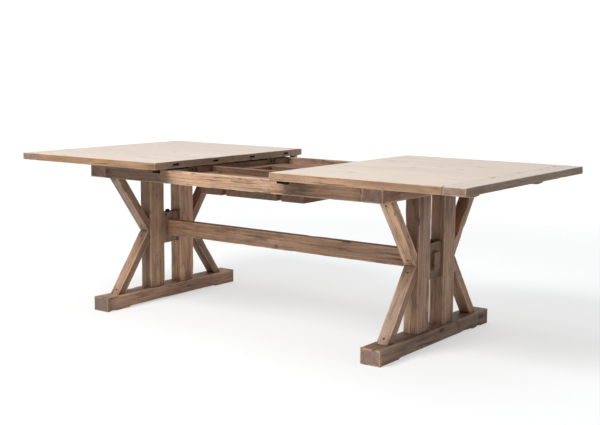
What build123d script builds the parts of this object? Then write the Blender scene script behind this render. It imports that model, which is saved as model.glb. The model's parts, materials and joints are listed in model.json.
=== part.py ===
from build123d import *
import os
from math import atan2, cos, sin

# An extending dining table of reclaimed pine, 30 in tall, shown pulled fully apart.
# Two trestles carry a fixed frame. Each half of the top rides on two wooden runners
# that slide on boards inside the frame. Between the halves is the room for a leaf.
# X runs along the table, Y across it, Z up. The origin is on the floor at the centre.
# Pieces are drawn for the right-hand end or the front and mirrored to the other side.

# ---- top -----------------------------------------------------------------------------
table_height = 762
table_width = 1116
half_length = 912
top_thickness = 33
opening = 652
closed_gap = 1
planks_per_half = 10
breadboard_width = 100
tongue_length = 20
tongue_thickness = 11
tongue_stop = 18
joint_clearance = 0.3

# ---- fixed frame ---------------------------------------------------------------------
frame_length = 1666
frame_width = 956
frame_gap = 7
rail_height = 60
rail_thickness = 30
end_rail_width = 100
bed_inner_edge = 215
bed_width = 153
bed_thickness = 30
cross_rail_thickness = 34
well_margin = 2
cross_plank_width = 66
lap_depth = 15
support_rail_thickness = 34
support_rail_height = 60
support_rail_offset = -153
support_rail_drop = 2

# ---- leaf tray under the middle ------------------------------------------------------
tray_depth = 550
tray_board_thickness = 35
tray_rail_width = 60
tray_rail_height = 32
tray_middle_width = 295
tray_side_width = 125
tray_gap = 27

# ---- runners and their hardware ------------------------------------------------------
runner_width = 56
runner_height = 29
runner_offset = 302
runner_setback = 5
runner_end_setback = 85
runner_end_chamfer = 8
runner_notch_clearance = 1
glide_width = 40
glide_thickness = 3
glide_end_margin = 12
groove_height = 8
groove_depth = 6
groove_floor = 9
guide_lip_height = 7
guide_thickness = 14
guide_height = 25
guide_clearance = 0.6
guide_end_gap = 2
stop_block_thickness = 30
stop_block_width = 80
stop_block_height = 27
stop_clearance = 0.5
bumper_radius = 5
bumper_thickness = 3.5
bumper_pin_radius = 2.5
bumper_pin_length = 20

# ---- trestles ------------------------------------------------------------------------
foot_length = 954
foot_width = 98
foot_height = 68
foot_corner_radius = 6
foot_relief_length = 650
foot_relief_height = 6
post_width = 100
post_thickness = 68
post_gap = 120
brace_width = 41
brace_thickness = 56
brace_reach = 388
brace_nose = 13
block_thickness = 42
block_height = 160
stretcher_height = 80
stretcher_thickness = 42
stretcher_overhang = 16
stretcher_end_chamfer = 4
stretcher_clearance = 0.4

# ---- fasteners -----------------------------------------------------------------------
bolt_radius = 6
bolt_head_width = 19
bolt_head_height = 8
bolt_end_margin = 14
washer_radius = 13
washer_thickness = 3
hole_clearance = 0.3
lag_radius = 4
lag_head_radius = 8
lag_head_height = 5
lag_sink = 6
lag_bite = 60
lag_shares = (0.25, 0.75)
wood_screw_radius = 2.4
wood_screw_head_radius = 5
wood_screw_head_height = 3
brace_screw_length = 82
brace_screw_sink = 4
brace_screw_inset = 26
brace_end_screw_inset = 22
tray_screw_bite = 16
tray_screw_share = 0.25
runner_screw_sink = 6
runner_screw_bite = 18
runner_screws_per_runner = 4
runner_screw_margin = 60
dowel_radius = 6
dowel_length = 60
dowel_spacing = 30

# ---- alignment keys and sockets, latches ---------------------------------------------
keys_per_edge = 4
socket_width = 39
socket_height = 10
socket_depth = 24
socket_floor = 3
socket_slot_width = 33
socket_slot_height = 6
key_width = 32
key_thickness = 5.2
key_reach = 14
key_chamfer = 3
latch_offset = 520
latch_plate_thickness = 2
latch_plate_width = 28
latch_plate_length = 32
latch_pivot_setback = 67
latch_pivot_radius = 3
latch_pivot_clearance = 0.1
latch_pivot_head_radius = 6
latch_pivot_head_height = 1.5
latch_arm_drop = 0.6
latch_arm_thickness = 3.4
latch_arm_width = 10
latch_grip_length = 56
latch_grip_width = 12
latch_grip_height = 12
latch_grip_tail = 6
keeper_stud_radius = 4
keeper_stud_height = 14
keeper_stud_head_radius = 6.5
keeper_stud_head_height = 1.5
keeper_stud_setback = 9
keeper_plate_length = 60
keeper_plate_setback = 3
keeper_rib_length = 24
keeper_rib_width = 14
keeper_rib_height = 14
keeper_rib_clearance = 3
hook_length = 18
hook_width = 17
hook_notch_clearance = 0.5

# ---- places worked out from the sizes above ------------------------------------------
top_under = table_height - top_thickness
frame_top = top_under - frame_gap
frame_under = frame_top - rail_height
runner_under = top_under - runner_height
bed_top = runner_under - glide_thickness
bed_under = bed_top - bed_thickness
half_inner_x = opening / 2
half_outer_x = half_inner_x + half_length
plank_outer_x = half_outer_x - breadboard_width
frame_end_x = frame_length / 2
end_rail_inner_x = frame_end_x - end_rail_width
rail_outer_y = frame_width / 2
rail_inner_y = rail_outer_y - rail_thickness
well_x = half_inner_x + well_margin
cross_rail_outer_x = well_x + cross_rail_thickness
bed_outer_edge = bed_inner_edge + bed_width
trestle_x = frame_end_x - end_rail_width / 2
post_inner_y = post_gap / 2
post_outer_y = post_inner_y + post_width
brace_middle_z = (foot_height + frame_under) / 2
edge_middle_z = table_height - top_thickness / 2
key_places = [table_width * ((index + 0.5) / keys_per_edge - 0.5) for index in range(keys_per_edge)]
slide_travel = half_inner_x - closed_gap / 2
latch_pivot_x = half_inner_x + latch_pivot_setback
latch_plate_under = top_under - latch_plate_thickness
latch_arm_top = latch_plate_under - latch_arm_drop
latch_arm_under = latch_arm_top - latch_arm_thickness
keeper_stud_x = half_inner_x + keeper_stud_setback
hook_notch_x = 2 * slide_travel - keeper_stud_x

os.makedirs("parts", exist_ok=True)


def board(x0, x1, y0, y1, z0, z1):
    """A straight board between two opposite corners."""
    middle = Pos((x0 + x1) / 2, (y0 + y1) / 2, (z0 + z1) / 2)
    return middle * Box(x1 - x0, y1 - y0, z1 - z0)


def rod(start, direction, length, radius):
    """A round rod that starts at a point and runs along a direction."""
    return Plane(origin=start, z_dir=direction) * Pos(0, 0, length / 2) * Cylinder(radius, length)


def screw(start, direction, length, radius, head_radius, head_height, sink):
    """A screw driven in from a surface, with its head sunk below that surface."""
    place = Vector(*start) + Vector(*direction).normalized() * sink
    head = rod(place, direction, head_height, head_radius)
    return head + rod(place, direction, length - sink, radius)


def screw_hole(start, direction, length, radius, head_radius, head_height, sink):
    """The stepped hole that a screw of the same sizes sits in."""
    mouth = rod(start, direction, sink + head_height, head_radius + hole_clearance)
    return mouth + rod(start, direction, length + hole_clearance, radius + hole_clearance)


def to_left(shape):
    """The same piece at the table's left-hand end."""
    return mirror(shape, about=Plane.YZ)


def to_back(shape):
    """The same piece at the table's back."""
    return mirror(shape, about=Plane.XZ)


def all_four(shape):
    """One piece at the right front and its copies at the other three places."""
    return [shape, to_back(shape), to_left(shape), to_left(to_back(shape))]


def cut(shape, tools):
    """A shape with every tool in a list taken out of it."""
    for tool in tools:
        shape = shape - tool
    return shape


def save(name, *pieces):
    """Write one named sub-part, with one solid for each piece."""
    solids = [solid for piece in pieces for solid in piece.solids()]
    shape = solids[0] if len(solids) == 1 else Compound(children=solids)
    export_step(shape, f"parts/{name}.step")


# ---- screws of the trestles, drawn first so that the wood can be bored for them --------
brace_rise = frame_under - brace_middle_z
brace_run = brace_reach - post_outer_y - brace_nose
brace_angle = atan2(brace_run, brace_rise)
brace_level_width = brace_width / cos(brace_angle)


def brace_screws(maker):
    """The two screws of the right front upper brace, or their holes."""
    direction = (0, cos(brace_angle), sin(brace_angle))
    made = []
    for height in (brace_middle_z + brace_screw_inset, frame_under - brace_end_screw_inset):
        out = post_outer_y + brace_nose + (height - brace_middle_z) * brace_run / brace_rise
        head = (wood_screw_head_radius, wood_screw_head_height, brace_screw_sink)
        made.append(maker((trestle_x, -out, height), direction, brace_screw_length, wood_screw_radius, *head))
    return made


def lag_screws(maker, surface_z, direction_z, length):
    """The lag screws that run into the ends of the two right-hand posts, or their holes."""
    made = []
    for y in (-post_outer_y, post_inner_y):
        for share in lag_shares:
            start = (trestle_x, y + post_width * share, surface_z)
            size = (length, lag_radius, lag_head_radius, lag_head_height, lag_sink)
            made.append(maker(start, (0, 0, direction_z), *size))
    return made


def lower_copy(shape):
    """An upper brace piece turned over to make the lower one."""
    return mirror(shape, about=Plane.XY.offset(brace_middle_z))


def brace_set(shapes):
    """The screws or holes of all four braces on the right-hand trestle."""
    uppers = shapes + [to_back(shape) for shape in shapes]
    return uppers + [lower_copy(shape) for shape in uppers]


rail_lag_length = rail_height + lag_bite
foot_lag_length = foot_height - foot_relief_height + lag_bite
brace_holes = brace_set(brace_screws(screw_hole))
rail_lag_holes = lag_screws(screw_hole, frame_top, -1, rail_lag_length)
foot_lag_holes = lag_screws(screw_hole, foot_relief_height, 1, foot_lag_length)
brace_fasteners = brace_set(brace_screws(screw))
rail_lags = lag_screws(screw, frame_top, -1, rail_lag_length)
foot_lags = lag_screws(screw, foot_relief_height, 1, foot_lag_length)

# ---- foot ----------------------------------------------------------------------------
foot_half_width = foot_width / 2
foot_half_length = foot_length / 2
foot = board(
    trestle_x - foot_half_width, trestle_x + foot_half_width,
    -foot_half_length, foot_half_length, 0, foot_height,
)
foot = fillet(foot.edges().filter_by(Axis.Z), foot_corner_radius)
relief_half = foot_relief_length / 2
foot = foot - board(
    trestle_x - foot_width, trestle_x + foot_width, -relief_half, relief_half, 0, foot_relief_height
)
foot = cut(foot, brace_holes + foot_lag_holes)
save("right_foot", foot)
save("left_foot", to_left(foot))

# ---- posts ---------------------------------------------------------------------------
post_half = post_thickness / 2
front_post = board(
    trestle_x - post_half, trestle_x + post_half, -post_outer_y, -post_inner_y, foot_height, frame_under
)
back_post = to_back(front_post)
bore_list = brace_holes + rail_lag_holes + foot_lag_holes
front_post = cut(front_post, bore_list)
back_post = cut(back_post, bore_list)
save("right_front_post", front_post)
save("right_back_post", back_post)
save("left_front_post", to_left(front_post))
save("left_back_post", to_left(back_post))

# ---- braces, which meet in a level butt joint half way up the posts --------------------
inner_meeting_z = brace_middle_z + (brace_level_width - brace_nose) * brace_rise / brace_run
brace_outline = [
    (-post_outer_y, brace_middle_z),
    (-post_outer_y - brace_nose, brace_middle_z),
    (-brace_reach, frame_under),
    (brace_level_width - brace_reach, frame_under),
    (-post_outer_y, inner_meeting_z),
]
brace_plane = Plane(origin=(trestle_x - brace_thickness / 2, 0, 0), x_dir=(0, 1, 0), z_dir=(1, 0, 0))
brace_face = brace_plane * make_face(Polyline(*brace_outline, close=True))
upper_front_brace = cut(extrude(brace_face, brace_thickness), brace_screws(screw_hole))
upper_back_brace = to_back(upper_front_brace)
brace_pieces = {
    "upper_front_brace": upper_front_brace,
    "upper_back_brace": upper_back_brace,
    "lower_front_brace": lower_copy(upper_front_brace),
    "lower_back_brace": lower_copy(upper_back_brace),
}
for name, brace in brace_pieces.items():
    save(f"right_{name}", brace)
    save(f"left_{name}", to_left(brace))

# ---- block between the posts, stretcher through it, and the bolt that pins them --------
block_top = brace_middle_z + block_height / 2
block_under = brace_middle_z - block_height / 2
bolt_length = block_height - bolt_end_margin
bolt_place = (trestle_x, 0, block_top)
bolt_hole_radius = bolt_radius + hole_clearance
bolt_hole = rod(bolt_place, (0, 0, -1), bolt_length + hole_clearance, bolt_hole_radius)
stretcher_end_x = trestle_x + block_thickness / 2 + stretcher_overhang
mortise_half_width = stretcher_thickness / 2 + stretcher_clearance
mortise_half_height = stretcher_height / 2 + stretcher_clearance
block = board(
    trestle_x - block_thickness / 2, trestle_x + block_thickness / 2, -post_inner_y, post_inner_y,
    block_under, block_top,
)
block = block - board(
    trestle_x - block_thickness, trestle_x + block_thickness, -mortise_half_width, mortise_half_width,
    brace_middle_z - mortise_half_height, brace_middle_z + mortise_half_height,
)
block = block - bolt_hole
save("right_block", block)
save("left_block", to_left(block))

stretcher = board(
    -stretcher_end_x, stretcher_end_x, -stretcher_thickness / 2, stretcher_thickness / 2,
    brace_middle_z - stretcher_height / 2, brace_middle_z + stretcher_height / 2,
)
end_faces = stretcher.faces().filter_by(Axis.X)
stretcher = chamfer(end_faces.edges(), stretcher_end_chamfer)
stretcher = stretcher - bolt_hole - to_left(bolt_hole)
save("stretcher", stretcher)

washer = rod(bolt_place, (0, 0, 1), washer_thickness, washer_radius)
washer = washer - rod(bolt_place, (0, 0, 1), washer_thickness, bolt_hole_radius)
save("stretcher_washers", washer, to_left(washer))
bolt_head = extrude(RegularPolygon(bolt_head_width / 2, 6, major_radius=False), bolt_head_height)
bolt = Pos(trestle_x, 0, block_top + washer_thickness) * bolt_head
bolt = bolt + rod((trestle_x, 0, block_top + washer_thickness), (0, 0, -1), bolt_length, bolt_radius)
save("stretcher_bolts", bolt, to_left(bolt))

save("brace_screws", *brace_fasteners, *[to_left(piece) for piece in brace_fasteners])
post_lags = rail_lags + foot_lags
save("post_lag_screws", *post_lags, *[to_left(piece) for piece in post_lags])

# ---- end rails, notched for the runners ------------------------------------------------
notch_half = runner_width / 2 + runner_notch_clearance
notch_y0 = -runner_offset - notch_half
notch_y1 = -runner_offset + notch_half
end_notch = board(end_rail_inner_x, frame_end_x, notch_y0, notch_y1, bed_top, frame_top)
cross_notch = board(well_x, cross_rail_outer_x, notch_y0, notch_y1, bed_top, frame_top)
dowel_holes = []
dowels = []
for offset in (-dowel_spacing / 2, dowel_spacing / 2):
    dowel_y = -rail_outer_y + rail_thickness / 2
    dowel_z = (frame_under + frame_top) / 2 + offset
    start_x = end_rail_inner_x - dowel_length / 2
    hole_start = (start_x - hole_clearance, dowel_y, dowel_z)
    hole_length = dowel_length + 2 * hole_clearance
    dowel_holes.append(rod(hole_start, (1, 0, 0), hole_length, dowel_radius + hole_clearance))
    dowels.append(rod((start_x, dowel_y, dowel_z), (1, 0, 0), dowel_length, dowel_radius))
dowel_holes = dowel_holes + [to_back(hole) for hole in dowel_holes]

end_rail = board(end_rail_inner_x, frame_end_x, -rail_outer_y, rail_outer_y, frame_under, frame_top)
end_rail = cut(end_rail, [end_notch, to_back(end_notch)] + brace_holes + rail_lag_holes + dowel_holes)
save("right_end_rail", end_rail)
save("left_end_rail", to_left(end_rail))
save("rail_dowels", *[copy for dowel in dowels for copy in all_four(dowel)])

# ---- front and back rails --------------------------------------------------------------
front_rail = board(-end_rail_inner_x, end_rail_inner_x, -rail_outer_y, -rail_inner_y, frame_under, frame_top)
front_rail = cut(front_rail, dowel_holes + [to_left(hole) for hole in dowel_holes])
save("front_rail", front_rail)
save("back_rail", to_back(front_rail))

# ---- cross rails, lapped over the boards that the runners slide on ---------------------
cross_rail = board(well_x, cross_rail_outer_x, -rail_inner_y, rail_inner_y, bed_under, frame_top)
lap_top = bed_under + lap_depth
rail_lap = board(well_x, cross_rail_outer_x, -bed_outer_edge, -bed_inner_edge, bed_under, lap_top)
cross_rail = cut(cross_rail, [cross_notch, to_back(cross_notch), rail_lap, to_back(rail_lap)])
save("right_cross_rail", cross_rail)
save("left_cross_rail", to_left(cross_rail))

# ---- leaf tray hung under the two slide boards -----------------------------------------
tray_top = bed_under - tray_rail_height
tray_under = tray_top - tray_board_thickness
tray_half_depth = tray_depth / 2
tray_side_inner_x = tray_middle_width / 2 + tray_gap
tray_side_outer_x = tray_side_inner_x + tray_side_width
tray_screw_length = tray_board_thickness + tray_rail_height + tray_screw_bite
tray_screw_y = tray_half_depth - tray_rail_width / 2
tray_screw_places = [
    tray_middle_width * tray_screw_share,
    tray_side_inner_x + tray_side_width * tray_screw_share,
    tray_side_outer_x - tray_side_width * tray_screw_share,
]


def tray_screws(maker):
    """The screws up through the tray boards and tray rails, or their holes."""
    made = []
    for x in tray_screw_places:
        size = (tray_screw_length, wood_screw_radius, wood_screw_head_radius, wood_screw_head_height, 0)
        made.extend(all_four(maker((x, -tray_screw_y, tray_under), (0, 0, 1), *size)))
    return made


tray_holes = tray_screws(screw_hole)
middle_board = board(
    -tray_middle_width / 2, tray_middle_width / 2, -tray_half_depth, tray_half_depth, tray_under, tray_top
)
side_board = board(
    tray_side_inner_x, tray_side_outer_x, -tray_half_depth, tray_half_depth, tray_under, tray_top
)
front_tray_rail = board(
    -tray_side_outer_x, tray_side_outer_x,
    -tray_half_depth, tray_rail_width - tray_half_depth, tray_top, bed_under,
)
side_board = cut(side_board, tray_holes)
front_tray_rail = cut(front_tray_rail, tray_holes)
save("middle_tray_board", cut(middle_board, tray_holes))
save("side_tray_boards", side_board, to_left(side_board))
save("tray_rails", front_tray_rail, to_back(front_tray_rail))
save("tray_screws", *tray_screws(screw))

# ---- the boards that the runners slide on, one front and one back ----------------------
slide_board = board(
    -end_rail_inner_x, end_rail_inner_x, -bed_outer_edge, -bed_inner_edge, bed_under, bed_top
)
board_lap = board(well_x, cross_rail_outer_x, -bed_outer_edge, -bed_inner_edge, lap_top, bed_top)
slide_board = cut(slide_board, [board_lap, to_left(board_lap)] + tray_holes)
save("front_slide_board", slide_board)
save("back_slide_board", to_back(slide_board))

# ---- planks that close the well at each end, and the rail that props the leaf ----------
cross_plank = board(well_x - cross_plank_width, well_x, -bed_inner_edge, bed_inner_edge, bed_under, bed_top)
save("cross_planks", cross_plank, to_left(cross_plank))

support_top = frame_top - support_rail_drop
support_front = support_rail_offset - support_rail_thickness / 2
support_back = support_rail_offset + support_rail_thickness / 2
support_inner_x = well_x - cross_plank_width
support_rail = board(-well_x, well_x, support_front, support_back, bed_top, support_top)
support_rail = support_rail + board(
    -support_inner_x, support_inner_x, support_front, support_back, support_top - support_rail_height, bed_top
)
save("leaf_support_rail", support_rail)

# ---- runner guides, screwed to the slide boards inside the frame -----------------------
groove_z = runner_under + groove_floor
lip_clearance = (groove_height - guide_lip_height) / 2
guide_inner_x = cross_rail_outer_x + guide_end_gap
guide_outer_x = end_rail_inner_x - guide_end_gap
guide_near = runner_width / 2 + guide_clearance
guide = board(
    guide_inner_x, guide_outer_x, guide_near, guide_near + guide_thickness, bed_top, bed_top + guide_height
)
lip_reach = groove_depth - guide_clearance
guide = guide + board(
    guide_inner_x, guide_outer_x, guide_near - lip_reach, guide_near,
    groove_z + lip_clearance, groove_z + groove_height - lip_clearance,
)
guide_pair = [guide, to_back(guide)]
guides = [Pos(0, side * runner_offset, 0) * piece for side in (-1, 1) for piece in guide_pair]
save("runner_guides", *guides, *[to_left(piece) for piece in guides])

# ---- runners, their glides, bumpers and screws -----------------------------------------
runner_inner_x = half_inner_x + runner_setback
runner_length = half_length - runner_setback - runner_end_setback
runner_outer_x = runner_inner_x + runner_length
runner_half = runner_width / 2
bumper_z = (runner_under + top_under) / 2
runner_screw_step = (runner_length - 2 * runner_screw_margin) / (runner_screws_per_runner - 1)


def runner_screws(maker):
    """The screws up through the right front runner into the top, or their holes."""
    made = []
    length = runner_height + runner_screw_bite
    for place in range(runner_screws_per_runner):
        x = runner_inner_x + runner_screw_margin + place * runner_screw_step
        start = (x, -runner_offset, runner_under)
        size = (length, wood_screw_radius, wood_screw_head_radius, wood_screw_head_height, runner_screw_sink)
        made.append(maker(start, (0, 0, 1), *size))
    return made


runner = board(
    runner_inner_x, runner_outer_x, -runner_offset - runner_half, -runner_offset + runner_half,
    runner_under, top_under,
)
lower_end_edge = runner.faces().sort_by(Axis.X)[-1].edges().sort_by(Axis.Z)[0]
runner = chamfer(lower_end_edge, runner_end_chamfer)
for side in (-1, 1):
    groove_y = -runner_offset + side * (runner_half - groove_depth / 2)
    runner = runner - board(
        runner_inner_x, runner_outer_x, groove_y - groove_depth / 2, groove_y + groove_depth / 2,
        groove_z, groove_z + groove_height,
    )
bumper_start = (runner_inner_x, -runner_offset, bumper_z)
bumper_hole_radius = bumper_pin_radius + hole_clearance
bumper_hole = rod(bumper_start, (1, 0, 0), bumper_pin_length + hole_clearance, bumper_hole_radius)
runner = cut(runner, runner_screws(screw_hole) + [bumper_hole])
bumper = rod(bumper_start, (-1, 0, 0), bumper_thickness, bumper_radius)
bumper = bumper + rod(bumper_start, (1, 0, 0), bumper_pin_length, bumper_pin_radius)
glide = board(
    runner_inner_x + glide_end_margin, runner_outer_x - glide_end_margin,
    -runner_offset - glide_width / 2, -runner_offset + glide_width / 2, bed_top, runner_under,
)
fitted = runner_screws(screw)
fitted = fitted + [to_back(piece) for piece in fitted]
save("right_front_runner", runner)
save("right_back_runner", to_back(runner))
save("left_front_runner", to_left(runner))
save("left_back_runner", to_left(to_back(runner)))
save("right_glide_strips", glide, to_back(glide))
save("left_glide_strips", to_left(glide), to_left(to_back(glide)))
save("right_runner_bumpers", bumper, to_back(bumper))
save("left_runner_bumpers", to_left(bumper), to_left(to_back(bumper)))
save("right_runner_screws", *fitted)
save("left_runner_screws", *[to_left(piece) for piece in fitted])

# ---- stop blocks, which meet the end rails when the halves are pulled right out --------
stop_outer_x = end_rail_inner_x - stop_clearance
stop_block = board(
    stop_outer_x - stop_block_thickness, stop_outer_x, -stop_block_width / 2, stop_block_width / 2,
    top_under - stop_block_height, top_under,
)
save("right_stop_block", stop_block)
save("left_stop_block", to_left(stop_block))

# ---- top planks and the breadboard ends that cap them ----------------------------------
plank_width = table_width / planks_per_half
tongue_half_y = table_width / 2 - tongue_stop
tongue_z0 = edge_middle_z - tongue_thickness / 2
tongue_z1 = edge_middle_z + tongue_thickness / 2
top_screw_holes = runner_screws(screw_hole)
top_screw_holes = top_screw_holes + [to_back(hole) for hole in top_screw_holes]
key_pockets = []
socket_pockets = []
for y in key_places:
    key_pockets.append(
        board(
            half_inner_x, half_inner_x + socket_depth, y - key_width / 2, y + key_width / 2,
            edge_middle_z - key_thickness / 2, edge_middle_z + key_thickness / 2,
        )
    )
    socket_pockets.append(
        board(
            half_inner_x, half_inner_x + socket_depth, y - socket_width / 2, y + socket_width / 2,
            edge_middle_z - socket_height / 2, edge_middle_z + socket_height / 2,
        )
    )


def plank(index, pockets):
    """One plank of the right half, with its tongue, bored and pocketed where it must be."""
    y0 = index * plank_width - table_width / 2
    y1 = y0 + plank_width
    body = board(half_inner_x, plank_outer_x, y0, y1, top_under, table_height)
    tongue_y0 = max(y0, -tongue_half_y)
    tongue_y1 = min(y1, tongue_half_y)
    tongue = board(plank_outer_x, plank_outer_x + tongue_length, tongue_y0, tongue_y1, tongue_z0, tongue_z1)
    return cut(body + tongue, pockets + top_screw_holes)


indexes = range(planks_per_half)
save("right_top_planks", *[plank(index, key_pockets) for index in indexes])
save("left_top_planks", *[to_left(plank(index, socket_pockets)) for index in indexes])

breadboard = board(plank_outer_x, half_outer_x, -table_width / 2, table_width / 2, top_under, table_height)
breadboard = breadboard - board(
    plank_outer_x, plank_outer_x + tongue_length + joint_clearance,
    -tongue_half_y - joint_clearance, tongue_half_y + joint_clearance,
    tongue_z0 - joint_clearance, tongue_z1 + joint_clearance,
)
save("right_breadboard_end", breadboard)
save("left_breadboard_end", to_left(breadboard))

# ---- alignment keys on the right half, sockets in the left half ------------------------
keys = []
sockets = []
for y in key_places:
    key = board(
        half_inner_x - key_reach, half_inner_x + socket_depth, y - key_width / 2, y + key_width / 2,
        edge_middle_z - key_thickness / 2, edge_middle_z + key_thickness / 2,
    )
    tip = key.edges().filter_by(Axis.Z).sort_by(Axis.X)[:2]
    keys.append(chamfer(tip, key_chamfer))
    socket = board(
        half_inner_x, half_inner_x + socket_depth, y - socket_width / 2, y + socket_width / 2,
        edge_middle_z - socket_height / 2, edge_middle_z + socket_height / 2,
    )
    slot = board(
        half_inner_x, half_inner_x + socket_depth - socket_floor,
        y - socket_slot_width / 2, y + socket_slot_width / 2,
        edge_middle_z - socket_slot_height / 2, edge_middle_z + socket_slot_height / 2,
    )
    sockets.append(to_left(socket - slot))
save("alignment_keys", *keys)
save("alignment_sockets", *sockets)

# ---- latches: a swinging hook on the right half, a keeper with a stud on the left ------
latch_plate = board(
    latch_pivot_x - latch_plate_length / 2, latch_pivot_x + latch_plate_length / 2,
    -latch_offset - latch_plate_width / 2, -latch_offset + latch_plate_width / 2, latch_plate_under, top_under,
)
pivot_length = latch_arm_drop + latch_grip_height + latch_pivot_clearance
pivot_start = (latch_pivot_x, -latch_offset, latch_plate_under)
pivot = rod(pivot_start, (0, 0, -1), pivot_length, latch_pivot_radius)
pivot_head_start = (latch_pivot_x, -latch_offset, latch_plate_under - pivot_length)
pivot = pivot + rod(pivot_head_start, (0, 0, -1), latch_pivot_head_height, latch_pivot_head_radius)
save("latch_plates", latch_plate, to_back(latch_plate))
save("latch_pivots", pivot, to_back(pivot))

grip_inner_x = latch_pivot_x + latch_grip_tail - latch_grip_length
grip = board(
    grip_inner_x, latch_pivot_x + latch_grip_tail, -latch_offset - latch_grip_width / 2,
    -latch_offset + latch_grip_width / 2, latch_arm_top - latch_grip_height, latch_arm_top,
)
arm = board(
    hook_notch_x, grip_inner_x, -latch_offset - latch_arm_width / 2, -latch_offset + latch_arm_width / 2,
    latch_arm_under, latch_arm_top,
)
hook_end = board(
    hook_notch_x - hook_length / 2, hook_notch_x + hook_length / 2, -latch_offset - hook_width / 2,
    -latch_offset + hook_width / 2, latch_arm_under, latch_arm_top,
)
notch_radius = keeper_stud_radius + hook_notch_clearance
notch = rod((hook_notch_x, -latch_offset, latch_arm_under), (0, 0, 1), latch_arm_thickness, notch_radius)
notch = notch + board(
    hook_notch_x - notch_radius, hook_notch_x + notch_radius, -latch_offset - hook_width, -latch_offset,
    latch_arm_under, latch_arm_top,
)
pivot_hole = rod(pivot_start, (0, 0, -1), 2 * latch_grip_height, latch_pivot_radius + latch_pivot_clearance)
latch_hook = grip + arm + hook_end - notch - pivot_hole
save("front_latch_hook", latch_hook)
save("back_latch_hook", to_back(latch_hook))

keeper_inner_x = half_inner_x + keeper_plate_setback
keeper = board(
    keeper_inner_x, keeper_inner_x + keeper_plate_length, -latch_offset - latch_plate_width / 2,
    -latch_offset + latch_plate_width / 2, latch_plate_under, top_under,
)
rib_inner_x = keeper_stud_x + hook_length / 2 + keeper_rib_clearance
keeper = keeper + board(
    rib_inner_x, rib_inner_x + keeper_rib_length, -latch_offset - keeper_rib_width / 2,
    -latch_offset + keeper_rib_width / 2, latch_plate_under - keeper_rib_height, latch_plate_under,
)
stud_start = (keeper_stud_x, -latch_offset, latch_plate_under)
stud_head_start = (keeper_stud_x, -latch_offset, latch_plate_under - keeper_stud_height)
keeper = keeper + rod(stud_start, (0, 0, -1), keeper_stud_height, keeper_stud_radius)
keeper = keeper + rod(stud_head_start, (0, 0, -1), keeper_stud_head_height, keeper_stud_head_radius)
keeper = to_left(keeper)
save("latch_keepers", keeper, to_back(keeper))
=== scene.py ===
import json
import math
import random

import bmesh
import bpy
from mathutils import Matrix, Vector, noise


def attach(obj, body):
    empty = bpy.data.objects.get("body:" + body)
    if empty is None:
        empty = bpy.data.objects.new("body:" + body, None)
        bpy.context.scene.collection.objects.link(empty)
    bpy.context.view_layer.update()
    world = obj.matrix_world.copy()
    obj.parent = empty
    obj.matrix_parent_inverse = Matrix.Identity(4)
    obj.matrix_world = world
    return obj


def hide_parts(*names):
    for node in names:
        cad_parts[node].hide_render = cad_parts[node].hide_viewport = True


# An extending trestle table of reclaimed pine, pulled open, in a plain pale studio.
# The wooden pieces are rebuilt from the frame's own boards: each board is cut across its
# grain, its edges are worn by hand-sized dips and chips, and then eased with a bevel.

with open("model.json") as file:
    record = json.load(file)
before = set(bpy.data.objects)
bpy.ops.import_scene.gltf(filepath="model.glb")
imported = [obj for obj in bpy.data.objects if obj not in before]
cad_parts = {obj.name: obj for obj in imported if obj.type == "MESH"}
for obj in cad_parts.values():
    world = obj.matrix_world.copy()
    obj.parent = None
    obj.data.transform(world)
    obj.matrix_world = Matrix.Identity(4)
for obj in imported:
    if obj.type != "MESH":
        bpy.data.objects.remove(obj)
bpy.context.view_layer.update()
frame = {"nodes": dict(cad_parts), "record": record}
bodies = frame["record"]["behaviour"]["bodies"]
body_of_node = {node: body for body, nodes in bodies.items() for node in nodes}
slot_of_node = {entry["node"]: entry["material_slot"] for entry in frame["record"]["subparts"]}

MM = 0.001

# ---- camera: a long lens from the right front, a little above the top ------------------
CAMERA_PLACE = (3.014, -3.981, 1.199)
CAMERA_YAW = 36.42
CAMERA_TILT = 82.10
CAMERA_ROLL = 0.33
CAMERA_LENS = 63.34
CAMERA_SENSOR = 36.0


# ======================================================================================
# Colour and node helpers
# ======================================================================================
def linear(code):
    """The linear RGBA colour of an sRGB hex code."""
    channels = [int(code[i:i + 2], 16) / 255 for i in (0, 2, 4)]
    low = [c / 12.92 if c <= 0.04045 else ((c + 0.055) / 1.055) ** 2.4 for c in channels]
    return (*low, 1.0)


# Settings that many nodes share.
TIMES = {"operation": "MULTIPLY"}
PLUS = {"operation": "ADD"}
LESS = {"operation": "SUBTRACT"}
SOFT_STEP = {"interpolation_type": "SMOOTHSTEP"}
COLOURS = {"data_type": "RGBA", "output": 2}


def add(tree, kind, inputs, output=0, **settings):
    """Add one node with its settings and links, and give the named or numbered output."""
    node = tree.nodes.new(f"ShaderNode{kind}")
    for name, value in settings.items():
        setattr(node, name, value)
    for name, value in inputs.items():
        if isinstance(value, bpy.types.NodeSocket):
            tree.links.new(value, node.inputs[name])
        else:
            node.inputs[name].default_value = value
    return node.outputs[output] if node.outputs else None


def new_material(name):
    """An empty material and its node tree."""
    material = bpy.data.materials.new(name)
    material.use_nodes = True
    material.node_tree.nodes.clear()
    return material, material.node_tree


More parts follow.
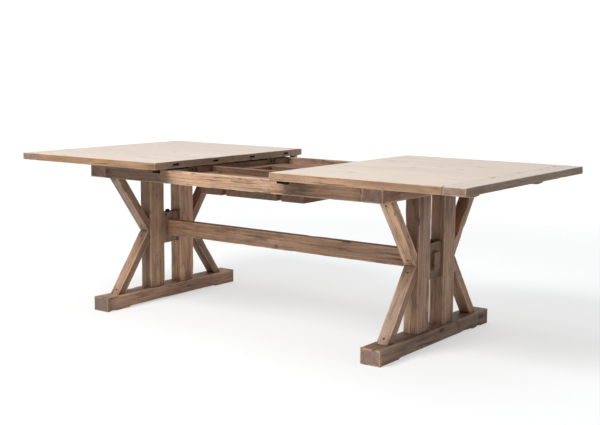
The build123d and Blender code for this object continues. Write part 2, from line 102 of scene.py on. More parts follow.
# ======================================================================================
# Reclaimed pine
# ======================================================================================
# Every board carries its own coordinates, in metres and centred on it: "place" runs along
# the grain, across it and through it, "half" is half the board's size the same way round,
# "seed" is a number of its own, "end" is 1 on sawn end grain, one mark is 1 on the table's
# upper face, which has a thin pale film, mostly painted sheen, and the tone mark is how light
# or dark the board is drawn, painted light and shade on some boards included.
STREAK_WIDTH = 26 * MM
FIBRE_WIDTH = 1.6 * MM
RING_SPACING = 8 * MM
HEART_DEPTH = 75 * MM
HEART_SPREAD = 160 * MM
GRAIN_DRIFT = 55 * MM
KNOTS_PER_METRE = (3.8, 11.0, 11.0)
KNOT_BULGE = 22 * MM
NAIL_SPACING = 150 * MM
SAW_MARK_SPACING = 7 * MM
EDGE_RUB_REACH = 11 * MM
EDGE_CHIP_REACH = 10 * MM
# How far from a board's end its joints are darkened, by grime and painted shade.
JOINT_GRIME_AND_SHADE_REACH = 60 * MM
RELIEF_DEPTH = 1.3 * MM
# Rings change slowly along the grain, so they are drawn from a board squeezed that way.
RING_STRETCH = (0.05, 1.0, 1.0)
# A wave texture makes one ring or band in this many of its own units.
WAVE_LENGTH = math.tau / 20
NAIL_HOLE_BLACK = "0d0a08"
# The colour of the film on the top's upper face, mostly painted sheen.
PALE_FILM_AND_SHEEN = "d5cabe"
# How far apart in the timber two boards' grain and tones lie, for seeds that differ by 1.
GRAIN_STEP = 37.0
TONE_STEP = 13.7
# Noises in the wood: patches to a metre along the grain and across it, detail, roughness.
# So the fibres are 1.6 mm wide, the dirt's patches 222 x 59 mm and the flecks 22 x 7 mm.
WOOD_NOISES = {
    "drift": (1.7, 7.0, 2.0, 0.55),
    "streaks": (1.6, 1 / STREAK_WIDTH, 4.0, 0.60),
    "broad": (0.9, 7.0, 3.0, 0.55),
    "fibres": (16.0, 1 / FIBRE_WIDTH, 2.0, 0.55),
    "checks": (5.0, 110.0, 3.0, 0.55),
    "grime": (4.5, 17.0, 4.0, 0.65),
    "hue": (6.0, 26.0, 3.0, 0.60),
    "flecks": (45.0, 140.0, 2.0, 0.60),
    "saw_patches": (3.0, 5.0, 1.0, 0.55),
    "rubs": (22.0, 60.0, 3.0, 0.65),
    "chips": (9.0, 40.0, 2.0, 0.55),
}
# Where these noises begin to show, and where they show in full.
NOISE_STEPS = {
    "checks": (0.60, 0.70), "grime": (0.48, 0.70), "flecks": (0.60, 0.72),
    "saw_patches": (0.60, 0.72), "chips": (0.575, 0.66),
}


def growth_rings(tree, place, seed, drift, knot_near):
    """The dark late wood of rings round a heart that lies outside the board. Knots pull it."""
    bulge = add(tree, "Math", {0: knot_near, 1: KNOT_BULGE}, **TIMES)
    drift = add(tree, "Math", {0: drift, 1: 0.5}, **LESS)
    drift = add(tree, "Math", {0: drift, 1: GRAIN_DRIFT}, **TIMES)
    heart_y = add(tree, "Math", {0: seed, 1: 0.5}, **LESS)
    heart_y = add(tree, "Math", {0: heart_y, 1: HEART_SPREAD}, **TIMES)
    heart = add(tree, "CombineXYZ", {1: heart_y, 2: HEART_DEPTH})
    pulled = add(tree, "Math", {0: drift, 1: bulge}, **PLUS)
    wander = add(tree, "CombineXYZ", {1: pulled, 2: drift})
    section = add(tree, "VectorMath", {0: place, 1: RING_STRETCH}, **TIMES)
    section = add(tree, "VectorMath", {0: section, 1: heart}, **PLUS)
    section = add(tree, "VectorMath", {0: section, 1: wander}, **PLUS)
    inputs = {
        "Vector": section, "Scale": WAVE_LENGTH / RING_SPACING, "Distortion": 1.6,
        "Detail": 2.0, "Detail Scale": 0.6,
    }
    settings = {"wave_type": "RINGS", "rings_direction": "X", "wave_profile": "SAW"}
    rings = add(tree, "TexWave", inputs, "Fac", **settings)
    return add(tree, "MapRange", {0: rings, 1: 0.45, 2: 1.0}, **SOFT_STEP)


def worn_edges(tree, place, half, rubs, chips):
    """Rubbed corners, chipped corners, and how far the board's nearer end is."""
    from_middle = add(tree, "VectorMath", {0: place}, operation="ABSOLUTE")
    inside = add(tree, "VectorMath", {0: half, 1: from_middle}, **LESS)
    gaps = add(tree, "SeparateXYZ", {0: inside}).node.outputs
    # A corner is as near as the middle one of the three distances to the board's faces.
    of_all = {}
    for operation in ("MINIMUM", "MAXIMUM", "ADD"):
        of_two = add(tree, "Math", {0: gaps[0], 1: gaps[1]}, operation=operation)
        of_all[operation] = add(tree, "Math", {0: of_two, 1: gaps[2]}, operation=operation)
    corner = add(tree, "Math", {0: of_all["ADD"], 1: of_all["MINIMUM"]}, **LESS)
    corner = add(tree, "Math", {0: corner, 1: of_all["MAXIMUM"]}, **LESS)
    reach = add(tree, "Math", {0: rubs, 1: EDGE_RUB_REACH}, **TIMES)
    past = add(tree, "Math", {0: corner, 1: reach}, **LESS)
    rubbed = add(tree, "MapRange", {0: past, 1: -4 * MM, 2: 2 * MM, 3: 1.0, 4: 0.0}, **SOFT_STEP)
    near = add(tree, "MapRange", {0: corner, 1: 0.0, 2: EDGE_CHIP_REACH, 3: 1.0, 4: 0.0}, **SOFT_STEP)
    return rubbed, add(tree, "Math", {0: near, 1: chips}, **TIMES), gaps[0]


def reclaimed_pine(name, light, middle, dark, grey, warm, knot, sawn, roughness, wash, dirt_and_joint_shade):
    """Old pine boards, sawn, sanded and sealed: streaks, growth rings, knots, nail holes,
    checks along the grain, greyed sawn ends, and edges rubbed pale or chipped dark.

    light, middle and dark are the wood, grey and warm its patches, knot its knots, checks
    and stains, and sawn its ends. wash is how pale the corners are rubbed, and the dirt number
    is how grimy the wood is and how dark its joints are drawn, with grime and painted shade."""
    material, tree = new_material(name)
    place = add(tree, "Attribute", {}, "Vector", attribute_name="place")
    half = add(tree, "Attribute", {}, "Vector", attribute_name="half")
    seed, end, tone_and_shade, film_and_sheen_face = (
        add(tree, "Attribute", {}, "Fac", attribute_name=mark)
        for mark in ("seed", "end", "tone_and_shade", "film_and_sheen_face")
    )

    # Each board is cut from a different stretch of timber.
    stretch = add(tree, "Math", {0: seed, 1: GRAIN_STEP}, **TIMES)
    start = add(tree, "CombineXYZ", {0: stretch})
    timber = add(tree, "VectorMath", {0: place, 1: start}, **PLUS)
    noises = {}
    for noise_name, (along, across, detail, rough) in WOOD_NOISES.items():
        points = add(tree, "VectorMath", {0: timber, 1: (along, across, across)}, **TIMES)
        inputs = {"Vector": points, "Scale": 1.0, "Detail": detail, "Roughness": rough}
        noises[noise_name] = add(tree, "TexNoise", inputs, "Fac")
    for noise_name, (low, high) in NOISE_STEPS.items():
        inputs = {0: noises[noise_name], 1: low, 2: high}
        noises[noise_name] = add(tree, "MapRange", inputs, **SOFT_STEP)

    # Knots, and the rings that they pull.
    points = add(tree, "VectorMath", {0: timber, 1: KNOTS_PER_METRE}, **TIMES)
    gap = add(tree, "TexVoronoi", {"Vector": points, "Scale": 1.0}, "Distance")
    knot_near = add(tree, "MapRange", {0: gap, 1: 0.02, 2: 0.42, 3: 1.0, 4: 0.0}, **SOFT_STEP)
    knot_core = add(tree, "MapRange", {0: gap, 1: 0.075, 2: 0.115, 3: 1.0, 4: 0.0}, **SOFT_STEP)
    late_wood = growth_rings(tree, place, seed, noises["drift"], knot_near)

    # Old nail holes, a few to a square metre, with the black stain of iron round them.
    points = add(tree, "VectorMath", {0: timber, 1: (1 / NAIL_SPACING,) * 3}, **TIMES)
    gap = add(tree, "TexVoronoi", {"Vector": points, "Scale": 1.0}, "Distance")
    nail_hole = add(tree, "MapRange", {0: gap, 1: 0.020, 2: 0.028, 3: 1.0, 4: 0.0}, **SOFT_STEP)
    nail_stain = add(tree, "MapRange", {0: gap, 1: 0.02, 2: 0.14, 3: 0.45, 4: 0.0}, **SOFT_STEP)

    # The ladder that a circular saw leaves, in a few patches.
    inputs = {"Vector": timber, "Scale": WAVE_LENGTH / SAW_MARK_SPACING, "Distortion": 0.8}
    ladder = add(tree, "TexWave", inputs, "Fac", bands_direction="X")
    saw_marks = add(tree, "Math", {0: noises["saw_patches"], 1: ladder}, **TIMES)

    # Worn corners, and grime with painted shade in the joints, but not on the sawn ends themselves.
    edge_rub, edge_chip, end_gap = worn_edges(tree, place, half, noises["rubs"], noises["chips"])
    joint_near = add(
        tree, "MapRange", {0: end_gap, 1: 0.0, 2: JOINT_GRIME_AND_SHADE_REACH, 3: dirt_and_joint_shade, 4: 0.0}, **SOFT_STEP
    )
    uneven = add(tree, "MapRange", {0: noises["grime"], 3: 0.5, 4: 1.0}, **SOFT_STEP)
    joint_grime_and_shade = add(tree, "Math", {0: joint_near, 1: uneven}, **TIMES)
    off_end = add(tree, "Math", {0: 1.0, 1: end}, **LESS)

    # Each board is a little darker or lighter than the next, and greyed or reddened in places.
    board_tone = add(tree, "Math", {0: seed, 1: TONE_STEP}, **TIMES)
    board_tone = add(tree, "Math", {0: board_tone}, operation="FRACT")
    board_tone = add(tree, "MapRange", {0: board_tone, 3: 0.0, 4: 0.30}, **SOFT_STEP)
    broad = add(tree, "MapRange", {0: noises["broad"], 1: 0.42, 2: 0.72}, **SOFT_STEP)
    fibres = add(tree, "MapRange", {0: noises["fibres"], 1: 0.35, 2: 0.8}, **SOFT_STEP)
    hue = noises["hue"]
    greyed = add(tree, "MapRange", {0: hue, 1: 0.54, 2: 0.72, 3: 0.0, 4: 0.45}, **SOFT_STEP)
    reddened = add(tree, "MapRange", {0: hue, 1: 0.30, 2: 0.46, 3: 0.38, 4: 0.0}, **SOFT_STEP)

    # The sawn ends' own colour, and the plain wood under everything else.
    streaks = noises["streaks"]
    amount = add(tree, "Math", {0: late_wood, 1: 0.6}, **TIMES)
    end_tone = add(tree, "Mix", {0: amount, 6: linear(sawn), 7: linear(dark)}, **COLOURS)
    amount = add(tree, "MapRange", {0: streaks, 1: 0.35, 2: 0.75, 3: 0.0, 4: 0.5}, **SOFT_STEP)
    end_tone = add(tree, "Mix", {0: amount, 6: end_tone, 7: linear(dark)}, **COLOURS)
    amount = add(tree, "MapRange", {0: streaks, 1: 0.25, 2: 0.75}, **SOFT_STEP)
    colour = add(tree, "Mix", {0: amount, 6: linear(light), 7: linear(middle)}, **COLOURS)

    # Layers over the plain wood, in order: where each lies, how strong it is, and its colour.
    layers = (
        (broad, 0.65, linear(dark), "MIX"),
        (late_wood, 0.34, linear(dark), "MIX"),
        (fibres, 0.34, linear(dark), "MIX"),
        (board_tone, 1.0, linear(middle), "MULTIPLY"),
        (greyed, 1.0, linear(grey), "MIX"),
        (reddened, 1.0, linear(warm), "MIX"),
        (noises["grime"], dirt_and_joint_shade, linear(dark), "MIX"),
        (noises["flecks"], 0.5, linear(knot), "MIX"),
        (saw_marks, 0.35, linear(light), "MIX"),
        (knot_near, 0.30, linear(dark), "MIX"),
        (knot_core, 0.85, linear(knot), "MIX"),
        (noises["checks"], 0.65, linear(knot), "MIX"),
        (end, 0.75, end_tone, "MIX"),
        (edge_rub, wash, linear(light), "MIX"),
        (edge_chip, 0.75, linear(knot), "MIX"),
        # Near the board's ends: grime and painted shade where the boards meet.
        (joint_grime_and_shade, off_end, linear(dark), "MIX"),
        (nail_stain, 1.0, linear(knot), "MIX"),
        (nail_hole, 1.0, linear(NAIL_HOLE_BLACK), "MIX"),
    )
    for share, strength, shade, kind in layers:
        amount = add(tree, "Math", {0: share, 1: strength}, **TIMES)
        colour = add(tree, "Mix", {0: amount, 6: colour, 7: shade}, blend_type=kind, **COLOURS)

    # Each board's own tone, with painted light and shade on some boards, then the thin film on
    # the upper face, mostly painted sheen, thinner over a knot.
    colour = add(tree, "VectorMath", {0: colour, "Scale": tone_and_shade}, operation="SCALE")
    film_and_sheen_share = add(tree, "MapRange", {0: streaks, 1: 0.2, 2: 0.8, 3: 0.82, 4: 0.66}, **SOFT_STEP)
    film_and_sheen_share = add(tree, "Math", {0: film_and_sheen_face, 1: film_and_sheen_share}, **TIMES)
    knot_thin = add(tree, "MapRange", {0: knot_core, 3: 1.0, 4: 0.6}, **SOFT_STEP)
    film_and_sheen_share = add(tree, "Math", {0: film_and_sheen_share, 1: knot_thin}, **TIMES)
    colour = add(tree, "Mix", {0: film_and_sheen_share, 6: colour, 7: linear(PALE_FILM_AND_SHEEN)}, **COLOURS)

    # Raised fibres and saw marks, and hollow late wood, checks, holes and chips.
    relief = add(tree, "Math", {0: noises["fibres"], 1: 0.30}, **TIMES)
    hollows = ((late_wood, 0.25), (noises["checks"], 1.2), (nail_hole, 2.5), (edge_chip, 1.2))
    for hollow, depth in hollows:
        cut = add(tree, "Math", {0: hollow, 1: depth}, **TIMES)
        relief = add(tree, "Math", {0: relief, 1: cut}, **LESS)
    ridge = add(tree, "Math", {0: saw_marks, 1: 0.4}, **TIMES)
    relief = add(tree, "Math", {0: relief, 1: ridge}, **PLUS)
    bump = add(tree, "Bump", {"Height": relief, "Strength": 0.75, "Distance": RELIEF_DEPTH})
    gloss_inputs = {0: noises["fibres"], 1: 0.2, 2: 0.8, 3: roughness - 0.06, 4: roughness + 0.10}
    gloss = add(tree, "MapRange", gloss_inputs, **SOFT_STEP)
    inputs = {"Base Color": colour, "Roughness": gloss, "IOR": 1.5, "Normal": bump}
    add(tree, "OutputMaterial", {"Surface": add(tree, "BsdfPrincipled", inputs)})
    return material


# ======================================================================================
# Metal, plastic and rubber
# ======================================================================================
RUBS_PER_METRE = 90.0
GRIT_DEPTH = 0.15 * MM


def scuffed(name, colour, worn_colour, metallic, roughness, grit, worn_share, ior=1.5):
    """A plain hard finish with fine grit in its gloss, and rubs in its worn colour."""
    material, tree = new_material(name)
    points = add(tree, "TexCoord", {}, "Object")
    grain = add(tree, "TexNoise", {"Vector": points, "Scale": 1 / grit, "Detail": 3.0}, "Fac")
    rub_inputs = {"Vector": points, "Scale": RUBS_PER_METRE, "Detail": 5.0}
    rubs = add(tree, "TexNoise", rub_inputs, "Fac")
    share = add(tree, "MapRange", {0: rubs, 1: 0.56, 2: 0.74, 3: 0.0, 4: worn_share}, **SOFT_STEP)
    mixed = add(tree, "Mix", {0: share, 6: linear(colour), 7: linear(worn_colour)}, **COLOURS)
    gloss = add(tree, "MapRange", {0: grain, 3: roughness - 0.08, 4: roughness + 0.12})
    bump = add(tree, "Bump", {"Height": grain, "Strength": 0.2, "Distance": GRIT_DEPTH})
    inputs = {
        "Base Color": mixed, "Metallic": metallic, "Roughness": gloss, "IOR": ior, "Normal": bump,
    }
    add(tree, "OutputMaterial", {"Surface": add(tree, "BsdfPrincipled", inputs)})
    return material


# Sun-bleached pine under a matt seal, with soft brown streaks; its upper face is cream under
# a pale film that is mostly painted sheen.
TOP_PINE = reclaimed_pine(
    "sealed_bleached_pine", light="d2b393", middle="b78f6d", dark="7a5a41", grey="94816f",
    warm="bd8f68", knot="3c2b20", sawn="a08d7f", roughness=0.45, wash=0.45, dirt_and_joint_shade=0.45,
)
# The same old pine, browner, on the frame and the trestles.
FRAME_PINE = reclaimed_pine(
    "aged_brown_pine", light="ceaa8a", middle="a5816a", dark="5c4231", grey="8c7c6b",
    warm="a8764c", knot="2c1f17", sawn="8a7a70", roughness=0.52, wash=0.60, dirt_and_joint_shade=0.70,
)
# Plain sawn pine inside the frame, never washed or sealed, so darker and dull.
INNER_PINE = reclaimed_pine(
    "raw_inner_pine", light="9c7558", middle="7d5b43", dark="513828", grey="6a5748",
    warm="87593a", knot="2a1d15", sawn="6a5748", roughness=0.65, wash=0.25, dirt_and_joint_shade=0.5,
)
# Black oxide on steel: near black with a low sheen, brown-grey where rubbed.
BLACK_STEEL = scuffed("black_oxide_steel", "17171a", "4a4540", 0.6, 0.42, 0.6 * MM, 0.35)
# Old screws sunk in the braces: steel browned by rust and polish.
BROWNED_STEEL = scuffed("browned_steel", "4f3f32", "33281f", 0.3, 0.6, 0.6 * MM, 0.5)
# Dull zinc on wood screws.
ZINC = scuffed("dull_zinc_plate", "8d8b86", "5e5b55", 1.0, 0.45, 0.8 * MM, 0.5)
# Moulded black nylon: dark, a soft even sheen.
BLACK_NYLON = scuffed("moulded_black_nylon", "121213", "2b2b2d", 0.0, 0.5, 0.5 * MM, 0.3, ior=1.53)
# Slick pale tape under the runners.
PALE_NYLON = scuffed("pale_glide_tape", "c9c5bb", "a39d90", 0.0, 0.4, 0.7 * MM, 0.4, ior=1.53)
# Rubber buffers: black and dull.
RUBBER = scuffed("black_rubber", "161514", "2e2c2a", 0.0, 0.75, 0.5 * MM, 0.3, ior=1.52)


# ======================================================================================
# Boards
# ======================================================================================
VERTEX_MARKS = {"place": "float_vector", "half": "float_vector", "seed": "float", "tone_and_shade": "float"}
FACE_MARKS = ("end", "film_and_sheen_face")
# How deep the dips and how broad the worn corners are, in millimetres, and the share of
# places with a chip: the feet have had the most knocks, then the posts and braces.
KNOCKED = {"depth": 1.3, "ease": 3.0, "chips": 0.08}
RUBBED = {"depth": 1.2, "ease": 2.0, "chips": 0.08}
# Reclaimed boards don't match: how much lighter or darker than the rest each of these is
# drawn, as stops along it from its left, front or lower end. The stops also paint light and
# shade, among them a painted shadow of the top over the front rail's left end, painted shade
# on the right foot and the right breadboard end, and painted light on the upper right brace,
# the left foot and the tray boards.
BOARD_TONES_AND_SHADE = {
    "front_rail": (
        (0.00, 0.54), (0.22, 0.58), (0.34, 1.20), (0.74, 1.24), (0.785, 0.85), (0.83, 1.20), (1.00, 1.20),
    ),
    "stretcher": ((0.00, 0.70), (0.015, 0.70), (0.035, 1.50), (0.965, 1.32), (0.985, 0.70), (1.00, 0.70)),
    "left_block": ((0.00, 0.80),),
    "right_block": ((0.00, 0.72),),
    "left_foot": ((0.00, 0.74), (0.06, 1.20), (1.00, 1.15)),
    "right_foot": ((0.00, 1.12), (0.05, 0.54), (1.00, 0.54)),
    "left_end_rail": ((0.00, 0.95),),
    "right_end_rail": ((0.00, 1.45), (0.10, 1.10), (1.00, 0.95)),
    "left_front_post": ((0.00, 1.15), (1.00, 0.98)),
    "left_back_post": ((0.00, 1.45), (1.00, 1.38)),
    "right_front_post": ((0.00, 1.00), (1.00, 0.92)),
    "right_upper_front_brace": ((0.00, 1.40), (1.00, 1.36)),
    "left_lower_front_brace": ((0.00, 1.10),),
    "left_upper_front_brace": ((0.00, 0.93),),
    "middle_tray_board": ((0.00, 1.55),),
    "side_tray_boards": ((0.00, 1.50),),
    "left_breadboard_end": ((0.00, 0.85),),
    "right_breadboard_end": ((0.00, 0.95), (0.04, 0.54), (1.00, 0.50)),
    "right_top_planks": ((0.00, 1.14),),
}
# Faces that meet at more than SHARP make a corner, and at less than FLAT they are one face.
SHARP = math.radians(35)
FLAT = math.radians(0.6)
SAME_POINT = 0.002 * MM
ON_THE_CUT = 0.001 * MM
# Shorter edges are the rims of screw holes. Cuts stay clear of the corners.
SHORTEST_WORN_EDGE = 12 * MM
CLEAR_OF_CORNER = 7 * MM
DIPS_PER_METRE = 14.0


def islands(bm):
    """The groups of vertices that are joined to each other."""
    unseen = set(bm.verts)
    groups = []
    while unseen:
        start = min(unseen, key=lambda v: v.index)
        group, frontier = {start}, [start]
        while frontier:
            vert = frontier.pop()
            for edge in vert.link_edges:
                other = edge.other_vert(vert)
                if other not in group:
                    group.add(other)
                    frontier.append(other)
        unseen -= group
        groups.append(group)
    return groups


def middle_of(bm):
    """The mean of a bmesh's vertices, rounded so that it sorts the same each time."""
    return tuple(round(sum(v.co[i] for v in bm.verts) / len(bm.verts), 4) for i in range(3))


def solids_of(node):
    """A clean bmesh for each solid of a CAD node, with its flat faces whole."""
    whole = bmesh.new()
    whole.from_mesh(frame["nodes"][node].data)
    bmesh.ops.remove_doubles(whole, verts=whole.verts, dist=SAME_POINT)
    whole.verts.index_update()
    found = []
    for group in islands(whole):
        wanted = {v.index for v in group}
        piece = whole.copy()
        piece.verts.index_update()
        others = [v for v in piece.verts if v.index not in wanted]
        bmesh.ops.delete(piece, geom=others, context="VERTS")
        bmesh.ops.dissolve_limit(
            piece, angle_limit=FLAT, verts=piece.verts, edges=piece.edges, use_dissolve_boundaries=False
        )
        found.append(piece)
    whole.free()
    found.sort(key=middle_of)
    return found


def long_axes(bm):
    """A board's own axes: along its longest edge, then across it, then through it."""
    longest = max(bm.edges, key=lambda e: round(e.calc_length(), 5))
    along = (longest.verts[0].co - longest.verts[1].co).normalized()
    if max(along, key=abs) < 0:
        along = -along
    side = max(longest.link_faces, key=lambda f: round(f.calc_area(), 6)).normal
    across = side.cross(along).normalized()
    return along, across, along.cross(across).normalized()


def spread(bm, axis):
    """The lowest and highest place of a board along an axis."""
    places = [v.co.dot(axis) for v in bm.verts]
    return min(places), max(places)


def sharp_edges(bm):
    """The board's own long corners, without the rims of screw holes."""
    found = []
    for edge in bm.edges:
        if len(edge.link_faces) == 2 and edge.calc_length() > SHORTEST_WORN_EDGE:
            if edge.calc_face_angle(0.0) > SHARP:
                found.append(edge)
    return found


def wear_board(bm, along, rng, step, depth, chips):
    """Cut a board across its grain and press its corners in, by small dips and a few chips."""
    low, high = spread(bm, along)
    corners = [v.co.dot(along) for v in bm.verts]
    place = low + step * rng.uniform(0.5, 1.0)
    while place < high - CLEAR_OF_CORNER:
        if min(abs(place - c) for c in corners) > CLEAR_OF_CORNER:
            geometry = bm.verts[:] + bm.edges[:] + bm.faces[:]
            bmesh.ops.bisect_plane(
                bm, geom=geometry, dist=ON_THE_CUT, plane_co=along * place, plane_no=along
            )
        place += step * rng.uniform(0.7, 1.3)
    bm.normal_update()
    corner_edges = sharp_edges(bm)
    corner_verts = {v for e in corner_edges for v in e.verts}
    touched = sorted(corner_verts, key=lambda v: tuple(round(c, 5) for c in v.co))
    moves = []
    for vert in touched:
        inward = Vector((0.0, 0.0, 0.0))
        seen = []
        for face in vert.link_faces:
            if all(face.normal.dot(other) < 0.9 for other in seen):
                seen.append(face.normal.copy())
                inward -= face.normal
        dip = abs(noise.noise(vert.co * DIPS_PER_METRE + Vector((rng.random(), 0, 0)))) * depth
        if rng.random() < chips:
            dip += depth * rng.uniform(0.8, 2.2)
        moves.append((vert, inward.normalized() * dip))
    for vert, move in moves:
        vert.co += move
    return corner_edges


def tone_and_shade_at(node, share):
    """How light or dark a board is drawn at a share of its length, painted light and shade included."""
    stops = BOARD_TONES_AND_SHADE.get(node, ((0.0, 1.0),))
    value = stops[0][1]
    for (start, before), (stop, after) in zip(stops, stops[1:]):
        if share > start:
            value = before + (after - before) * min(1.0, (share - start) / (stop - start))
    return value


def add_marks(bm):
    """Add the boards' own attributes to a bmesh, and give them by name."""
    marks = {name: getattr(bm.verts.layers, kind).new(name) for name, kind in VERTEX_MARKS.items()}
    for name in FACE_MARKS:
        marks[name] = bm.faces.layers.float.new(name)
    return marks


def make_board_piece(node, material, step=38, depth=1.0, ease=1.6, chips=0.05):
    """The worn board or boards that stand for one CAD node, with their own grain."""
    joined = bmesh.new()
    add_marks(joined)
    for number, bm in enumerate(solids_of(node)):
        rng = random.Random(f"{node} {number}")
        bm.normal_update()
        axes = long_axes(bm)
        along = axes[0]
        middles, halves = [], []
        for axis in axes:
            low, high = spread(bm, axis)
            middles.append((low + high) / 2)
            halves.append((high - low) / 2)
        edges = wear_board(bm, along, rng, step * MM, depth * MM, chips)
        bmesh.ops.bevel(
            bm, geom=edges, offset=ease * MM, offset_type="OFFSET", segments=2, profile=0.5,
            affect="EDGES", clamp_overlap=False, material=-1,
        )
        bmesh.ops.triangulate(bm, faces=[f for f in bm.faces if len(f.verts) > 4])
        bm.normal_update()
        marks = add_marks(bm)
        own_seed = rng.random()
        own_tone = rng.uniform(0.93, 1.07)
        for vert in bm.verts:
            place = [vert.co.dot(axis) - middle for axis, middle in zip(axes, middles)]
            vert[marks["place"]] = Vector(place)
            vert[marks["half"]] = Vector(halves)
            vert[marks["seed"]] = own_seed
            # The tone mark carries the board's own tone and the painted light and shade of its stops.
            vert[marks["tone_and_shade"]] = own_tone * tone_and_shade_at(node, place[0] / (2 * halves[0]) + 0.5)
        # Faces of the top that look up get the pale film, mostly painted sheen.
        for face in bm.faces:
            face[marks["end"]] = 1.0 if abs(face.normal.dot(along)) > 0.75 else 0.0
            face[marks["film_and_sheen_face"]] = 1.0 if material is TOP_PINE and face.normal.z > 0.8 else 0.0
            face.smooth = False
        scrap = bpy.data.meshes.new("scrap")
        bm.to_mesh(scrap)
        bm.free()
        joined.from_mesh(scrap)
        bpy.data.meshes.remove(scrap)
    place_piece(f"worn_{node}", joined, material, node)


def place_piece(name, bm, material, node):
    """Turn a bmesh into a piece that rides with the CAD node that it stands for."""
    mesh = bpy.data.meshes.new(name)
    bm.to_mesh(mesh)
    bm.free()
    mesh.materials.append(material)
    piece = bpy.data.objects.new(name, mesh)
    bpy.context.scene.collection.objects.link(piece)
    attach(piece, body_of_node[node])
    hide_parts(node)


WOOD_OF_SLOT = {
    "weathered_pine_top": TOP_PINE, "weathered_pine_frame": FRAME_PINE, "inner_pine": INNER_PINE,
}
HARD_OF_SLOT = {
    "black_steel": BLACK_STEEL, "zinc_screw": ZINC, "black_nylon": BLACK_NYLON,
    "white_nylon": PALE_NYLON, "rubber": RUBBER,
}
# Nodes with a finish of their own: browned screws, and dowels that keep their CAD mesh
# because they are hidden inside the rails.
HARD_OF_NODE = {"brace_screws": BROWNED_STEEL, "rail_dowels": INNER_PINE}
WEAR_OF_NODE = {node: RUBBED for node in slot_of_node if node.endswith(("brace", "post"))}
WEAR_OF_NODE.update({"left_foot": KNOCKED, "right_foot": KNOCKED})

for node, slot in slot_of_node.items():
    if slot in WOOD_OF_SLOT and node not in HARD_OF_NODE:
        make_board_piece(node, WOOD_OF_SLOT[slot], **WEAR_OF_NODE.get(node, {}))
for node, slot in slot_of_node.items():
    if slot in HARD_OF_SLOT or node in HARD_OF_NODE:
        data = frame["nodes"][node].data
        data.materials.clear()
        data.materials.append(HARD_OF_NODE.get(node) or HARD_OF_SLOT[slot])

# ======================================================================================
# Floor, light and camera
# ======================================================================================
# Each softbox's name, place, aim, width and height in metres, and power in watts.
SOFTBOXES = (
    ("key_front_left", (-1.2, -4.0, 4.6), (0.0, 0.0, 0.4), 2.6, 2.0, 330),
    ("overhead_back", (-0.6, 1.6, 3.8), (0.0, 0.0, 0.3), 4.0, 3.0, 38),
)
# The backdrop is white to the camera. To the pieces it is dim on one side and bright on the
# other: the bright side's direction, how far round it the change spans, and both levels.
BACKDROP_WHITE = 1.05
BRIGHT_SIDE = (0.10, 0.78, 0.60)
BACKDROP_SPAN = (-0.4, 0.8)
BACKDROP_LEVELS = (0.10, 0.70)
FLOOR_RADIUS = 9.0
FLOOR_FADE = (1.9, 4.8)
FLOOR_PALE = "f6f6f5"
FLOOR_PAINT = "b2b3b4"
FLOOR_GLOW_COLOUR = "fbfcfb"
FLOOR_GLOW = 0.53


def make_floor():
    """A round floor that fades into the white backdrop.

    It lights the pieces as a pale floor does. The camera sees a darker paint with a glow
    added, so that it is nearly white with soft shadows in it."""
    material, tree = new_material("pale_studio_floor")
    points = add(tree, "TexCoord", {}, "Object")
    away = add(tree, "VectorMath", {0: points}, "Value", operation="LENGTH")
    fade = add(tree, "MapRange", {0: away, 1: FLOOR_FADE[0], 2: FLOOR_FADE[1]}, **SOFT_STEP)
    seen = add(tree, "LightPath", {}, "Is Camera Ray")
    bounce = add(tree, "BsdfDiffuse", {"Color": linear(FLOOR_PALE)})
    paint = add(tree, "BsdfDiffuse", {"Color": linear(FLOOR_PAINT)})
    glow = add(tree, "Emission", {"Color": linear(FLOOR_GLOW_COLOUR), "Strength": FLOOR_GLOW})
    shown = add(tree, "AddShader", {0: paint, 1: glow})
    lit = add(tree, "MixShader", {0: seen, 1: bounce, 2: shown})
    mixed = add(tree, "MixShader", {0: fade, 1: lit, 2: add(tree, "BsdfTransparent", {})})
    add(tree, "OutputMaterial", {"Surface": mixed})
    bm = bmesh.new()
    bmesh.ops.create_circle(bm, cap_ends=True, segments=96, radius=FLOOR_RADIUS)
    mesh = bpy.data.meshes.new("studio_floor")
    bm.to_mesh(mesh)
    bm.free()
    mesh.materials.append(material)
    floor = bpy.data.objects.new("studio_floor", mesh)
    floor.visible_shadow = False
    bpy.context.scene.collection.objects.link(floor)


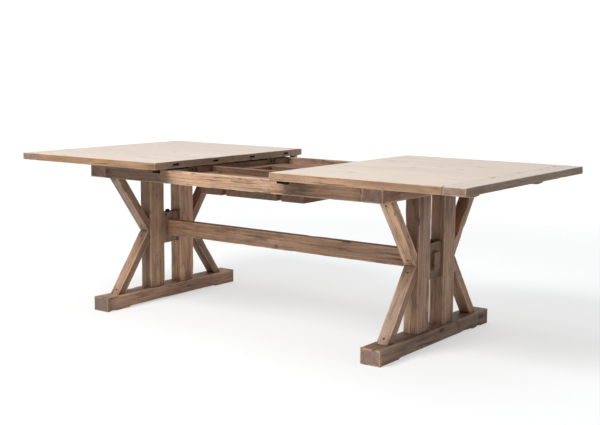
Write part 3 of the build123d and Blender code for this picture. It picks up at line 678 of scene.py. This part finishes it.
def make_softbox(name, place, aim, width, height, power):
    """A soft rectangular studio light."""
    lamp = bpy.data.lights.new(name, "AREA")
    lamp.shape = "RECTANGLE"
    lamp.size = width
    lamp.size_y = height
    lamp.energy = power
    box = bpy.data.objects.new(name, lamp)
    box.location = place
    box.rotation_euler = (Vector(aim) - Vector(place)).to_track_quat("-Z", "Y").to_euler()
    box.visible_camera = False
    bpy.context.scene.collection.objects.link(box)


def make_world():
    """A white backdrop that lights the pieces more from behind and above than from the front."""
    world = bpy.data.worlds.new("white_studio")
    world.use_nodes = True
    tree = world.node_tree
    tree.nodes.clear()
    toward = add(tree, "TexCoord", {}, "Generated")
    side = add(tree, "VectorMath", {0: toward, 1: BRIGHT_SIDE}, "Value", operation="DOT_PRODUCT")
    level_inputs = {
        0: side, 1: BACKDROP_SPAN[0], 2: BACKDROP_SPAN[1], 3: BACKDROP_LEVELS[0], 4: BACKDROP_LEVELS[1],
    }
    level = add(tree, "MapRange", level_inputs, **SOFT_STEP)
    seen = add(tree, "LightPath", {}, "Is Camera Ray")
    strength = add(tree, "Mix", {0: seen, 2: level, 3: BACKDROP_WHITE})
    light = add(tree, "Background", {"Color": (1.0, 1.0, 1.0, 1.0), "Strength": strength})
    add(tree, "OutputWorld", {"Surface": light})
    bpy.context.scene.world = world


def make_camera():
    """The long-lens view from the right front."""
    lens = bpy.data.cameras.new("view")
    lens.lens = CAMERA_LENS
    lens.sensor_width = CAMERA_SENSOR
    camera = bpy.data.objects.new("view", lens)
    turn = Matrix.Identity(4)
    for angle, axis in ((CAMERA_YAW, "Z"), (CAMERA_TILT, "X"), (CAMERA_ROLL, "Z")):
        turn = turn @ Matrix.Rotation(math.radians(angle), 4, axis)
    camera.matrix_world = Matrix.Translation(CAMERA_PLACE) @ turn
    bpy.context.scene.collection.objects.link(camera)
    bpy.context.scene.camera = camera


make_floor()
for softbox in SOFTBOXES:
    make_softbox(*softbox)
make_world()
make_camera()
bpy.context.scene.view_settings.view_transform = "Standard"
